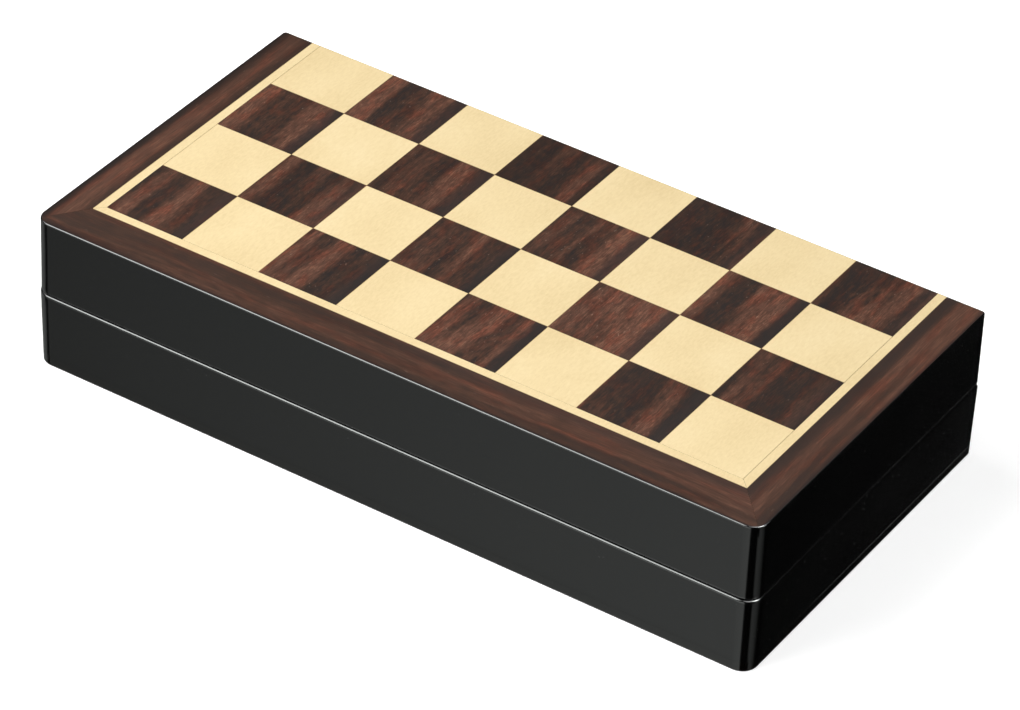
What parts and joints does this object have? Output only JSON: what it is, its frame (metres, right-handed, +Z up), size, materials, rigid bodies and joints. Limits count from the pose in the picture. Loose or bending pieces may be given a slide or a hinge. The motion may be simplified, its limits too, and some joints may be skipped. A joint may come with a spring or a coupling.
{
  "type": "folding chess set",
  "caption": "Folding wooden chess box with a veneered board on its outer faces, hinged along one long side, with chessmen in foam trays inside.",
  "frame": {"origin": "middle of the bounding box in X and Y, on the face that the shut box stands on", "axes": "+X along the box, to the right as seen from the side that opens; +Y towards the hinges; +Z up, out of the lid's playing face"},
  "size_m": [0.2914, 0.15, 0.0599],
  "materials": {
    "lacquer": "satin black lacquer over wood",
    "light_veneer": "satin maple veneer",
    "dark_veneer": "satin rosewood veneer",
    "stringing_veneer": "satin maple stringing",
    "border_veneer": "satin rosewood veneer",
    "hinge_brass": "brushed brass",
    "screw_brass": "turned brass",
    "magnet_nickel": "nickel plate",
    "tray_foam": "flocked foam",
    "boxwood": "polished boxwood",
    "rosewood": "polished rosewood",
    "felt": "green baize"
  },
  "bodies": {
    "base": {"base_front_rail": "lacquer", "base_rear_rail": "lacquer", "base_end_rails": "lacquer", "base_panel": "lacquer", "base_light_squares": "light_veneer", "base_dark_squares": "dark_veneer", "base_stringing": "stringing_veneer", "base_border": "border_veneer", "base_hinge_leaves": "hinge_brass", "base_hinge_screws": "screw_brass", "base_magnets": "magnet_nickel", "base_tray": "tray_foam", "white_rook_1": "boxwood", "white_knight_1": "boxwood", "white_bishop_1": "boxwood", "white_queen": "boxwood", "white_king": "boxwood", "white_bishop_2": "boxwood", "white_knight_2": "boxwood", "white_rook_2": "boxwood", "white_pawn_1": "boxwood", "white_pawn_2": "boxwood", "white_pawn_3": "boxwood", "white_pawn_4": "boxwood", "white_pawn_5": "boxwood", "white_pawn_6": "boxwood", "white_pawn_7": "boxwood", "white_pawn_8": "boxwood", "white_felt_pads": "felt", "hinge_pins": "hinge_brass"},
    "lid": {"lid_front_rail": "lacquer", "lid_rear_rail": "lacquer", "lid_end_rails": "lacquer", "lid_panel": "lacquer", "lid_light_squares": "light_veneer", "lid_dark_squares": "dark_veneer", "lid_stringing": "stringing_veneer", "lid_border": "border_veneer", "lid_hinge_leaves": "hinge_brass", "lid_hinge_screws": "screw_brass", "lid_magnets": "magnet_nickel", "lid_tray": "tray_foam", "black_rook_1": "rosewood", "black_knight_1": "rosewood", "black_bishop_1": "rosewood", "black_queen": "rosewood", "black_king": "rosewood", "black_bishop_2": "rosewood", "black_knight_2": "rosewood", "black_rook_2": "rosewood", "black_pawn_1": "rosewood", "black_pawn_2": "rosewood", "black_pawn_3": "rosewood", "black_pawn_4": "rosewood", "black_pawn_5": "rosewood", "black_pawn_6": "rosewood", "black_pawn_7": "rosewood", "black_pawn_8": "rosewood", "black_felt_pads": "felt"}
  },
  "joints": [
    {"name": "lid_hinge", "type": "hinge", "parent": "base", "child": "lid", "pos_m": [0, 0.07305, 0.02995], "axis": [-1, 0, 0], "range_deg": [0, 180]}
  ]
}
